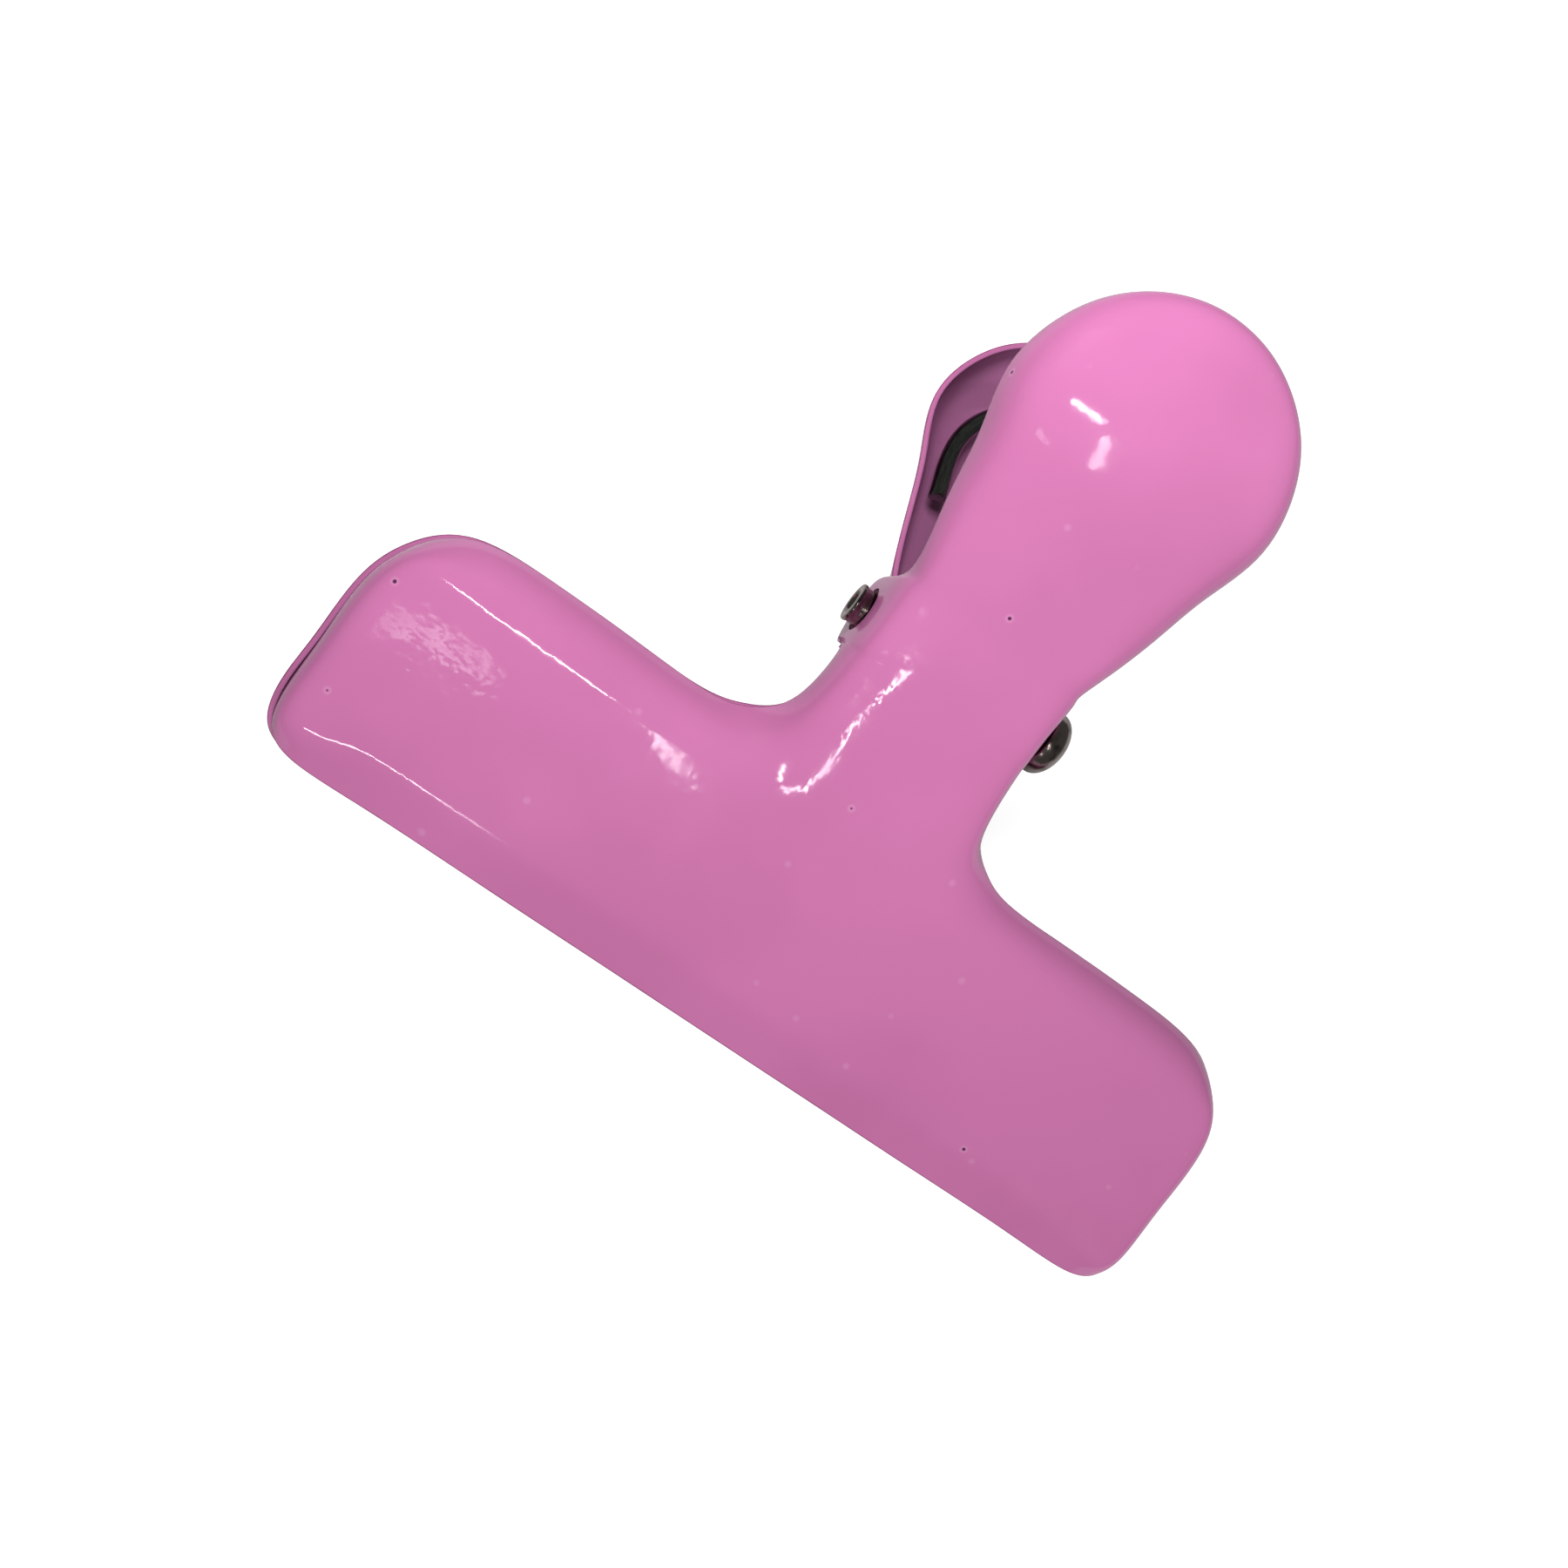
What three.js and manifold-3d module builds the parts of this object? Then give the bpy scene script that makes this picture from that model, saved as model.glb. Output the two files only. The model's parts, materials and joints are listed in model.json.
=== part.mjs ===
// A pressed steel grip clip: two sheet shells, each with half of a wide straight jaw and a round thumb
// handle, a pivot pin through their ears, and a torsion spring coiled round the pin.
// Millimetres. In the clip's own frame X runs along the jaw, Y from the lips to the handle tips, and Z
// from the middle plane to the front shell. The finished clip lies on its back shell, with +Z up.
import * as THREE from 'three';
import { mergeVertices } from 'three/addons/utils/BufferGeometryUtils.js';
import Module from 'manifold-3d';

// The sheet, and the gap between the closed lips
const sheet = 0.6;
const lipGap = 0.3;

// The jaw: a lip strip, a crease, a flat plate, and a top edge that rolls back
const jawWidth = 100;
const jawHeight = 26.8;
const lipStrip = 5;
const lipRise = 2.1;
const creaseBend = 0.8;
const plateRise = 2.1;
const topRoll = 5;
const topDrop = 3.2;
const endRoll = 4.5;
const endRim = 0.3;
const topCornerRadius = 10.7;
const lipCornerRadius = 4.6;

// The neck, and the ears that turn down at its sides round the pin. The back shell's ears are narrower,
// and it sits as far to the left on the pin as they let it.
const neckWidth = 21.3;
const neckFlat = 13;
const neckLift = 2.8;
const neckShoulder = 3.2;
const filletRadius = 8.1;
const earRadius = 4.3;
const earGap = 0.5;
const notchDepth = 0.6;
const sidePlay = 0.8;

// The handle: the height of the whole clip, the round head, and the plane of its rolled rim
const clipHeight = 81.5;
const paddleWidth = 29.7;
const paddleFlat = 17.6;
const rimAtPin = 6;
const rimAngle = THREE.MathUtils.degToRad(11.7);
const domeHeight = 5.7;
const domeCrown = 0.6;
const flareCurve = 1.3;

// The pin, along X at pinAt above the lips
const pinAt = 42.1;
const pinRadius = 1.95;
const pinFit = 0.3;
const looseHoleRadius = 2.45;
const pinTail = 1.4;
const headRadius = 3.45;
const headThick = 2.9;
const headGap = 0.65;
const pinBurr = 0.12;

// The spring: its coil, and a leg with a round loop and a straight tail for each handle
const wireRadius = 0.95;
const coilGap = 0.7;
const coilTurns = 4.5;
const coilPitch = 2.5;
const legGap = 0.3;
const loopRadius = 9.5;
const loopShift = 0.3;
const loopAt = 21.4;
const tailLength = 4;
const tailTurn = -14;
const stemTurn = 190;
const stepsPerTurn = 8;
const wireSides = 5;

// Rounds of each fit that closes in on its answer
const fitRounds = 40;

const enamelColour = 0xd97bb9;
const steelColour = 0x55504d;

const wasm = await Module();
wasm.setup();

// Heights that the shells share
const halfJaw = jawWidth / 2;
const halfNeck = neckWidth / 2;
const headArc = paddleWidth / 2;
const headAt = clipHeight - headArc;
const lipZ = lipGap / 2 + sheet;
const creaseZ = lipZ + lipRise;
const plateTop = creaseZ + plateRise;
const rollAt = jawHeight - topRoll;
const backInset = sheet + earGap + sidePlay;

function mix(a, b, t) {
  return a + (b - a) * t;
}

function plateHeight(y) {
  return creaseZ + plateRise * (y - lipStrip) / (rollAt - lipStrip);
}

function rimHeight(y) {
  return rimAtPin + (y - pinAt) * Math.tan(rimAngle);
}

// The handle's middle stands above its rim plane, more and more towards the head
function handleHeight(y) {
  const share = THREE.MathUtils.smoothstep(y, pinAt, headAt);
  return rimHeight(y) + mix(plateTop + neckLift - rimAtPin, domeHeight, share);
}

// Rows of the flat part, from the lips up: place, half width at the neck's column, height and crown
function flatRows(inset) {
  const neck = neckFlat / 2;
  const narrow = neck - inset;
  const earEnd = pinAt + earRadius + creaseBend;
  const earBend = 0.72 * earRadius;
  const first = mix(earEnd, headAt, 1 / 3);
  const second = mix(earEnd, headAt, 2 / 3);
  const rows = [
    { y: lipStrip - creaseBend, half: neck, z: lipZ + lipRise * (1 - creaseBend / lipStrip), crown: 0 },
    { y: lipStrip + creaseBend, half: neck, z: plateHeight(lipStrip + creaseBend), crown: 0 },
  ];
  for (const share of [0.36, 0.8, 1]) {
    const y = mix(lipStrip, rollAt, share);
    rows.push({ y, half: neck, z: plateHeight(y), crown: 0 });
  }
  const lift = (share) => plateTop + neckLift * share;
  rows.push({ y: jawHeight + 0.45 * filletRadius, half: narrow, z: lift(0.35), crown: 0.1 });
  rows.push({ y: pinAt - earRadius - creaseBend, half: narrow, z: lift(0.62), crown: 0.2 });
  rows.push({ y: pinAt - earBend, half: narrow, z: lift(0.75), crown: 0.2 });
  rows.push({ y: pinAt, half: narrow, z: lift(1), crown: 0.2 });
  rows.push({ y: pinAt + earBend, half: narrow, z: handleHeight(pinAt + earBend), crown: 0.2 });
  rows.push({ y: earEnd, half: narrow, z: handleHeight(earEnd), crown: 0.25 });
  const wide = paddleFlat / 2;
  rows.push({ y: first, half: mix(narrow, wide, 0.3), z: handleHeight(first), crown: 0.35 });
  rows.push({ y: second, half: mix(narrow, wide, 0.68), z: handleHeight(second), crown: 0.5 });
  rows.push({ y: headAt, half: wide, z: handleHeight(headAt), crown: domeCrown });
  const upper = headAt + 0.42 * headArc;
  rows.push({ y: upper, half: 0.9 * wide, z: rimHeight(upper) + 0.88 * domeHeight, crown: domeCrown });
  const top = headAt + 0.68 * headArc;
  rows.push({ y: top, half: 0.62 * wide, z: rimHeight(top) + 0.6 * domeHeight, crown: 0.5 * domeCrown });
  return rows;
}

// Columns beyond the neck, as shares of the way to the end of the flat part, the row at the jaw's inner
// corners, and the first row above the ears
const wingShares = [0.18, 0.42, 0.7, 0.89, 1];
const neckCols = 2;
const jawCols = neckCols + wingShares.length;
const cornerRow = 4;
const handleRow = 10;

function flatPoint(rows, col, rowIndex) {
  const row = rows[rowIndex];
  const side = Math.sign(col);
  const count = Math.abs(col);
  if (count > neckCols) {
    const share = wingShares[count - neckCols - 1];
    const x = mix(row.half, halfJaw - endRoll, share);
    return new THREE.Vector3(side * x, row.y, row.z);
  }
  const share = count / neckCols;
  const x = side * share * row.half;
  const seat = count === neckCols && rowIndex === cornerRow ? 1 : 0;
  return new THREE.Vector3(x + side * seat, row.y + seat * 1.5, row.z - row.crown * share * share);
}

// The way round the edge of the flat part, right half only, from the middle of the lips to the tip
function edgeRoute(rowCount) {
  const route = [];
  for (let col = 0; col < jawCols; col += 1) {
    route.push([col, 0]);
  }
  for (let row = 0; row < cornerRow; row += 1) {
    route.push([jawCols, row]);
  }
  for (let col = jawCols; col > neckCols; col -= 1) {
    route.push([col, cornerRow]);
  }
  for (let row = cornerRow; row < rowCount; row += 1) {
    route.push([neckCols, row]);
  }
  for (let col = neckCols - 1; col >= 0; col -= 1) {
    route.push([col, rowCount - 1]);
  }
  return route;
}

function onArc(x, y, radius, degrees) {
  const angle = THREE.MathUtils.degToRad(degrees);
  return [x + radius * Math.cos(angle), y + radius * Math.sin(angle)];
}

// How each stretch of edge is bent: where its two bends lie between rim and flat, and how far each drops
const lipBend = { reach: [0.6, 0.25], drop: [0.4, 0.75] };
const endBend = { reach: [0.3, 0.06], drop: [0.04, 0.5] };
const rollBend = { reach: [0.5, 0.16], drop: [0.16, 0.6] };
const sideBend = { reach: [0.22, 0], drop: [0.06, 0.6] };
const headBend = { reach: [0.36, 0.06], drop: [0.12, 0.55] };

// The rim of the right half, one point for each step of edgeRoute
function rimPoints(rows, inset) {
  const rim = [];
  const add = (place, z, bend) => {
    rim.push({ x: place[0], y: place[1], z, bend });
  };
  const lipStraight = halfJaw - lipCornerRadius;
  for (let col = 0; col < jawCols; col += 1) {
    const flat = flatPoint(rows, col, 0);
    const x = col <= neckCols ? flat.x : flat.x * lipStraight / flatPoint(rows, jawCols - 1, 0).x;
    add([x, 0], lipZ, lipBend);
  }
  const rimTop = plateTop - topDrop;
  const addEnd = (place) => {
    add(place, mix(endRim, rimTop, (place[1] - rows[1].y) / (jawHeight - rows[1].y)), endBend);
  };
  add(onArc(lipStraight, lipCornerRadius, lipCornerRadius, -38), mix(lipZ, endRim, 0.3), endBend);
  addEnd([halfJaw, rows[1].y]);
  addEnd([halfJaw, mix(rows[2].y, rows[1].y, 0.1)]);
  const cornerX = halfJaw - topCornerRadius;
  const cornerY = jawHeight - topCornerRadius;
  addEnd(onArc(cornerX, cornerY, topCornerRadius, 4));
  addEnd(onArc(cornerX, cornerY, topCornerRadius, 34));
  add(onArc(cornerX, cornerY, topCornerRadius, 67), rimTop, rollBend);
  const filletX = halfNeck + filletRadius;
  const filletY = jawHeight + filletRadius;
  add([mix(filletX, cornerX, 0.8), jawHeight], rimTop, rollBend);
  add([mix(filletX, cornerX, 0.42), jawHeight], rimTop, rollBend);
  add([filletX, jawHeight], rimTop, rollBend);
  const [filletHigh, filletLow] = [205, 238];
  const lowPlace = onArc(filletX, filletY, filletRadius, filletLow);
  add([lowPlace[0] - 0.4 * inset, lowPlace[1]], rimTop, rollBend);
  const highPlace = onArc(filletX, filletY, filletRadius, filletHigh);
  add([highPlace[0] - 0.8 * inset, highPlace[1]], rimTop, sideBend);
  const ear = halfNeck - inset;
  add([ear, pinAt - earRadius - 0.3], rimTop - 0.4, sideBend);
  add([ear, pinAt - 0.88 * earRadius], -0.48 * earRadius, sideBend);
  add([ear, pinAt], -earRadius, sideBend);
  add([ear, pinAt + 0.88 * earRadius], -0.48 * earRadius, sideBend);
  const flareFrom = pinAt + 0.7 * earRadius;
  const flare = (y) => mix(halfNeck, headArc, Math.pow((y - flareFrom) / (headAt - flareFrom), flareCurve));
  const [above, first, second] = [0, 1, 2].map((step) => rows[handleRow + step].y);
  add([flare(above) - inset - notchDepth, above], rimHeight(above) - neckLift + 2 * notchDepth, sideBend);
  add([flare(first) - 0.8 * inset, first], rimHeight(first), headBend);
  add([flare(second) - 0.35 * inset, second], rimHeight(second), headBend);
  for (const degrees of [0, 27, 50, 71, 90]) {
    const place = onArc(0, headAt, headArc, degrees);
    add(place, rimHeight(place[1]), headBend);
  }
  return rim;
}

// A closed smooth line through the rim points needs its control points a little outside them
function throughPoints(targets) {
  const control = targets.map((point) => point.clone());
  const count = targets.length;
  for (let round = 0; round < fitRounds; round += 1) {
    for (let i = 0; i < count; i += 1) {
      const before = control[(i + count - 1) % count];
      const after = control[(i + 1) % count];
      const smooth = control[i].clone().multiplyScalar(4).add(before).add(after).divideScalar(6);
      control[i].add(targets[i]).sub(smooth);
    }
  }
  return control;
}

// The control net of a front shell's outer face: the flat part and three rings out to the rim
function shellNet(inset) {
  const rows = flatRows(inset);
  const points = [];
  const quads = [];
  const index = new Map();
  const at = (col, row) => {
    const key = `${col},${row}`;
    if (!index.has(key)) {
      index.set(key, points.length);
      points.push(flatPoint(rows, col, row));
    }
    return index.get(key);
  };
  for (let row = 0; row < rows.length - 1; row += 1) {
    const reach = row < cornerRow ? jawCols : neckCols;
    for (let col = -reach; col < reach; col += 1) {
      quads.push([at(col, row), at(col + 1, row), at(col + 1, row + 1), at(col, row + 1)]);
    }
  }
  const right = edgeRoute(rows.length);
  const rightRim = rimPoints(rows, inset);
  const route = [...right];
  const rim = [...rightRim];
  for (let i = right.length - 2; i > 0; i -= 1) {
    route.push([-right[i][0], right[i][1]]);
    rim.push({ ...rightRim[i], x: -rightRim[i].x });
  }
  const targets = rim.map((point) => new THREE.Vector3(point.x, point.y, point.z));
  const control = throughPoints(targets);
  const rings = [route.map(([col, row]) => at(col, row)), [], [], []];
  for (let i = 0; i < route.length; i += 1) {
    const flat = points[rings[0][i]];
    const { reach, drop } = rim[i].bend;
    const depth = flat.z - targets[i].z;
    const bendDepth = rim[i].bend === sideBend ? Math.min(depth, neckShoulder / drop[1]) : depth;
    for (const ring of [0, 1]) {
      const place = targets[i].clone().lerp(flat, reach[ring]);
      const push = control[i].clone().sub(targets[i]).multiplyScalar(ring === 0 ? 0.5 : 1);
      place.x += push.x;
      place.y += push.y;
      place.z = flat.z - bendDepth * drop[ring];
      rings[ring + 1].push(points.length);
      points.push(place);
    }
    rings[3].push(points.length);
    points.push(control[i]);
  }
  for (let ring = 0; ring < 3; ring += 1) {
    for (let i = 0; i < route.length; i += 1) {
      const next = (i + 1) % route.length;
      quads.push([rings[ring][i], rings[ring + 1][i], rings[ring + 1][next], rings[ring][next]]);
    }
  }
  return { points, quads };
}

function edgeKey(a, b) {
  return a < b ? `${a},${b}` : `${b},${a}`;
}

// The edges of a net of quads, each with the faces beside it
function netEdges(quads) {
  const edges = new Map();
  quads.forEach((quad, face) => {
    quad.forEach((a, i) => {
      const b = quad[(i + 1) % 4];
      const key = edgeKey(a, b);
      if (!edges.has(key)) {
        edges.set(key, { ends: [a, b], faces: [] });
      }
      edges.get(key).faces.push(face);
    });
  });
  return edges;
}

function average(points) {
  const sum = new THREE.Vector3();
  points.forEach((point) => sum.add(point));
  return sum.divideScalar(points.length);
}

// One round of Catmull-Clark subdivision
function subdivide({ points, quads }) {
  const edges = netEdges(quads);
  const centres = quads.map((quad) => average(quad.map((i) => points[i])));
  const refined = points.map(() => null);
  const edgeIndex = new Map();
  const around = points.map(() => ({ faces: new Set(), middles: [], rim: [] }));
  for (const [key, { ends, faces }] of edges) {
    const middle = average(ends.map((i) => points[i]));
    for (const end of ends) {
      around[end].middles.push(middle);
      faces.forEach((face) => around[end].faces.add(face));
      if (faces.length === 1) {
        around[end].rim.push(middle);
      }
    }
    const spread = faces.length === 1 ? middle : average([...ends.map((i) => points[i]),
      ...faces.map((face) => centres[face])]);
    edgeIndex.set(key, refined.length);
    refined.push(spread);
  }
  points.forEach((point, i) => {
    const { faces, middles, rim } = around[i];
    if (rim.length === 2) {
      refined[i] = point.clone().multiplyScalar(2).add(rim[0]).add(rim[1]).divideScalar(4);
      return;
    }
    const count = middles.length;
    const faceMean = average([...faces].map((face) => centres[face]));
    const edgeMean = average(middles);
    refined[i] = point.clone().multiplyScalar(count - 3).add(faceMean).addScaledVector(edgeMean, 2)
      .divideScalar(count);
  });
  const fine = [];
  quads.forEach((quad, face) => {
    const centre = refined.length;
    refined.push(centres[face]);
    quad.forEach((corner, i) => {
      const next = edgeIndex.get(edgeKey(corner, quad[(i + 1) % 4]));
      const before = edgeIndex.get(edgeKey(quad[(i + 3) % 4], corner));
      fine.push([corner, next, centre, before]);
    });
  });
  return { points: refined, quads: fine };
}

// Moves each point of a net to the place where endless subdivision would take it
function toLimit({ points, quads }) {
  const edges = netEdges(quads);
  const near = points.map(() => ({ edge: [], rim: [], diagonal: [] }));
  for (const { ends, faces } of edges.values()) {
    for (const [a, b] of [ends, [ends[1], ends[0]]]) {
      near[a].edge.push(points[b]);
      if (faces.length === 1) {
        near[a].rim.push(points[b]);
      }
    }
  }
  quads.forEach((quad) => {
    quad.forEach((corner, i) => near[corner].diagonal.push(points[quad[(i + 2) % 4]]));
  });
  const limit = points.map((point, i) => {
    const { edge, rim, diagonal } = near[i];
    if (rim.length === 2) {
      return point.clone().multiplyScalar(4).add(rim[0]).add(rim[1]).divideScalar(6);
    }
    const count = edge.length;
    const sum = point.clone().multiplyScalar(count * count);
    edge.forEach((other) => sum.addScaledVector(other, 4));
    diagonal.forEach((other) => sum.add(other));
    return sum.divideScalar(count * (count + 5));
  });
  return { points: limit, quads };
}

function netNormals({ points, quads }) {
  const normals = points.map(() => new THREE.Vector3());
  for (const quad of quads) {
    const first = points[quad[2]].clone().sub(points[quad[0]]);
    const second = points[quad[3]].clone().sub(points[quad[1]]);
    const cross = first.cross(second);
    quad.forEach((i) => normals[i].add(cross));
  }
  return normals.map((normal) => normal.normalize());
}

// Gives a net its sheet thickness and closes it round the rim
function thicken(net) {
  const normals = netNormals(net);
  const inner = net.points.map((point, i) => point.clone().addScaledVector(normals[i], -sheet));
  const count = net.points.length;
  const triangles = [];
  for (const [a, b, c, d] of net.quads) {
    triangles.push(a, b, c, a, c, d);
    triangles.push(count + a, count + c, count + b, count + a, count + d, count + c);
  }
  for (const { ends, faces } of netEdges(net.quads).values()) {
    if (faces.length === 1) {
      const [a, b] = ends;
      triangles.push(b, a, count + a, b, count + a, count + b);
    }
  }
  const geometry = new THREE.BufferGeometry();
  geometry.setFromPoints([...net.points, ...inner]);
  geometry.setIndex(triangles);
  return geometry;
}

function toSolid(geometry) {
  const bare = new THREE.BufferGeometry();
  bare.setAttribute('position', geometry.getAttribute('position').clone());
  if (geometry.index) {
    bare.setIndex(geometry.index.clone());
  }
  const merged = mergeVertices(bare, 1e-4);
  const mesh = new wasm.Mesh({
    numProp: 3,
    vertProperties: new Float32Array(merged.getAttribute('position').array),
    triVerts: new Uint32Array(merged.index.array),
  });
  return new wasm.Manifold(mesh);
}

function toGeometry(solid) {
  const mesh = solid.getMesh();
  const geometry = new THREE.BufferGeometry();
  geometry.setAttribute('position', new THREE.BufferAttribute(new Float32Array(mesh.vertProperties), 3));
  geometry.setIndex(new THREE.BufferAttribute(new Uint32Array(mesh.triVerts), 1));
  return geometry;
}

// A pressed shell with the pin's hole through both ears
function shellGeometry(inset, holeRadius) {
  const net = toLimit(subdivide(shellNet(inset)));
  const hole = new THREE.CylinderGeometry(holeRadius, holeRadius, 2 * neckWidth, 20);
  hole.rotateZ(Math.PI / 2);
  hole.translate(0, pinAt, 0);
  return toGeometry(toSolid(thicken(net)).subtract(toSolid(hole)));
}

function frontShell() {
  return shellGeometry(0, looseHoleRadius);
}

function backShell() {
  const geometry = shellGeometry(backInset, pinRadius + pinFit);
  geometry.scale(1, 1, -1);
  geometry.translate(-sidePlay, 0, 0);
  const order = geometry.index.array;
  for (let i = 0; i < order.length; i += 3) {
    [order[i + 1], order[i + 2]] = [order[i + 2], order[i + 1]];
  }
  return geometry;
}

// The pin is turned: a hollow tail end, a plain shank and a domed head
function pivotPin() {
  const tail = -halfNeck - pinTail;
  const seat = halfNeck + headGap;
  const hollow = 0.62 * pinRadius;
  const profile = [
    [0, tail + 2 * pinBurr + hollow / 2],
    [0.75 * hollow, tail + 2 * pinBurr + hollow / 2],
    [hollow, tail + pinBurr],
    [hollow + pinBurr, tail],
    [pinRadius - pinBurr, tail],
    [pinRadius + pinBurr, tail + pinBurr],
    [pinRadius + pinBurr, tail + 3 * pinBurr],
    [pinRadius, tail + 5 * pinBurr],
    [pinRadius, seat],
    [headRadius - pinBurr, seat],
    [headRadius, seat + pinBurr],
    [headRadius, seat + 0.3 * headThick],
  ];
  const domeSteps = 4;
  for (let i = 1; i <= domeSteps; i += 1) {
    const angle = i / domeSteps * Math.PI / 2;
    profile.push([headRadius * Math.cos(angle), seat + headThick * (0.3 + 0.7 * Math.sin(angle))]);
  }
  profile[profile.length - 1][0] = 0;
  const geometry = new THREE.LatheGeometry(profile.map(([r, x]) => new THREE.Vector2(r, x)), 18);
  geometry.rotateZ(-Math.PI / 2);
  geometry.translate(0, pinAt, 0);
  return geometry;
}

// Inner height of the front shell over a place, by a ray from the middle plane
function sheetOver(shell, x, y) {
  const ray = new THREE.Raycaster(new THREE.Vector3(x, y, 0), new THREE.Vector3(0, 0, 1));
  const hit = ray.intersectObject(shell)[0];
  return hit ? hit.point.z : Infinity;
}

// The front leg seen from the front: a straight tail, the round loop, and a stem down to the coil's end
function legRoute(coilEnd) {
  const [loopX, loopY] = [loopShift, pinAt + loopAt];
  const place = (degrees) => new THREE.Vector2(...onArc(loopX, loopY, loopRadius, degrees));
  const end = place(tailTurn);
  const along = new THREE.Vector2(...onArc(0, 0, 1, tailTurn - 90));
  const tail = [1, 0.5].map((share) => end.clone().addScaledVector(along, share * tailLength));
  const arcSteps = 12;
  const arc = [];
  for (let i = 0; i <= arcSteps; i += 1) {
    arc.push(place(mix(tailTurn, stemTurn, i / arcSteps)));
  }
  const foot = new THREE.Vector2(coilEnd, pinAt + Math.PI * 2 * coilMean() / stepsPerTurn);
  const stem = [0.25, 0.5, 0.75, 1].map((share) => arc[arcSteps].clone().lerp(foot, share));
  return [...tail, ...arc, ...stem];
}

function coilMean() {
  return pinRadius + coilGap + wireRadius;
}

// The steepest lean at which the front leg still clears the inside of its handle
function legLean(route, shell) {
  const room = legGap + wireRadius;
  const heights = route.map(({ x, y }) => {
    const over = [x - room, x, x + room].map((place) => sheetOver(shell, place - sidePlay, y));
    return { y, z: Math.min(...over) - room };
  });
  let low = 0;
  let high = Math.PI / 4;
  for (let round = 0; round < fitRounds; round += 1) {
    const lean = (low + high) / 2;
    const fits = heights.every(({ y, z }) => legHeight(lean, y) + room * (1 / Math.cos(lean) - 1) <= z);
    if (fits) {
      low = lean;
    } else {
      high = lean;
    }
  }
  return low;
}

function legHeight(lean, y) {
  return Math.tan(lean) * (y - pinAt) + coilMean() / Math.cos(lean);
}

// The wire's middle line: front leg, coil from left to right, back leg. It sits where the back shell sits.
function springPoints(shell) {
  const halfCoil = coilTurns * coilPitch / 2;
  const route = legRoute(-halfCoil);
  const lean = legLean(route, shell);
  const frontLeg = route.map(({ x, y }) => new THREE.Vector3(x, y, legHeight(lean, y)));
  const backLeg = frontLeg.map(({ x, y, z }) => new THREE.Vector3(-x, y, -z)).reverse();
  const turn = coilTurns * Math.PI * 2 - 2 * lean;
  const steps = Math.round(coilTurns * stepsPerTurn);
  const coil = [];
  for (let i = 0; i <= steps; i += 1) {
    const angle = Math.PI / 2 + lean + turn * i / steps;
    const x = mix(-halfCoil, halfCoil, i / steps);
    coil.push(new THREE.Vector3(x, pinAt + coilMean() * Math.cos(angle), coilMean() * Math.sin(angle)));
  }
  return [...frontLeg, ...coil, ...backLeg].map(({ x, y, z }) => new THREE.Vector3(x - sidePlay, y, z));
}

// Least gap between stretches of the wire that are not next to each other
function leastGap(points) {
  const apart = 4 * wireRadius;
  const lengths = [0];
  for (let i = 1; i < points.length; i += 1) {
    lengths.push(lengths[i - 1] + points[i].distanceTo(points[i - 1]));
  }
  let least = Infinity;
  for (let i = 0; i < points.length; i += 1) {
    for (let j = i + 1; j < points.length; j += 1) {
      if (lengths[j] - lengths[i] > apart) {
        least = Math.min(least, points[i].distanceTo(points[j]) - 2 * wireRadius);
      }
    }
  }
  return least;
}

function torsionSpring(shell) {
  const path = new THREE.CatmullRomCurve3(springPoints(shell));
  const step = Math.PI * 2 * coilMean() / stepsPerTurn;
  const steps = Math.round(path.getLength() / step);
  const fine = path.getSpacedPoints(steps * 6);
  console.log(`spring: least gap to itself ${leastGap(fine).toFixed(2)} mm`);
  const section = new THREE.Shape();
  for (let i = 0; i < wireSides; i += 1) {
    const [x, y] = onArc(0, 0, wireRadius, 360 * i / wireSides);
    if (i === 0) {
      section.moveTo(x, y);
    } else {
      section.lineTo(x, y);
    }
  }
  section.closePath();
  return new THREE.ExtrudeGeometry(section, { steps, extrudePath: path, bevelEnabled: false });
}

// The lean at which the back shell lies on its jaw and on the head of its handle
function restLean(geometry) {
  const position = geometry.getAttribute('position');
  let lean = 0;
  for (let round = 0; round < fitRounds; round += 1) {
    const lowest = { jaw: null, handle: null };
    for (let i = 0; i < position.count; i += 1) {
      const point = new THREE.Vector3().fromBufferAttribute(position, i);
      const height = point.y * Math.sin(lean) + point.z * Math.cos(lean);
      const part = point.y < pinAt ? 'jaw' : 'handle';
      if (!lowest[part] || height < lowest[part].height) {
        lowest[part] = { height, point };
      }
    }
    const jaw = lowest.jaw.point;
    const handle = lowest.handle.point;
    lean = Math.atan2(jaw.z - handle.z, handle.y - jaw.y);
  }
  return lean;
}

function named(name, geometry, colour, roughness, metalness) {
  const material = new THREE.MeshStandardMaterial({ color: colour, roughness, metalness });
  const mesh = new THREE.Mesh(geometry, material);
  mesh.name = name;
  return mesh;
}

const group = new THREE.Group();
const clip = new THREE.Group();
group.add(clip);

const front = named('front_shell', frontShell(), enamelColour, 0.2, 0);
const back = named('back_shell', backShell(), enamelColour, 0.2, 0);
clip.add(front);
clip.add(back);
clip.add(named('pivot_pin', pivotPin(), steelColour, 0.25, 1));
front.material.side = THREE.DoubleSide;
clip.add(named('torsion_spring', torsionSpring(front), steelColour, 0.3, 1));
front.material.side = THREE.FrontSide;

clip.rotation.x = restLean(back.geometry);
clip.updateMatrixWorld(true);
const box = new THREE.Box3().setFromObject(clip, true);
const middle = box.getCenter(new THREE.Vector3());
clip.position.set(-middle.x, -middle.y, -box.min.z);

export default group;
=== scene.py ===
import json
import math

import bpy
from mathutils import Matrix, Vector
from mathutils.kdtree import KDTree


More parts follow.
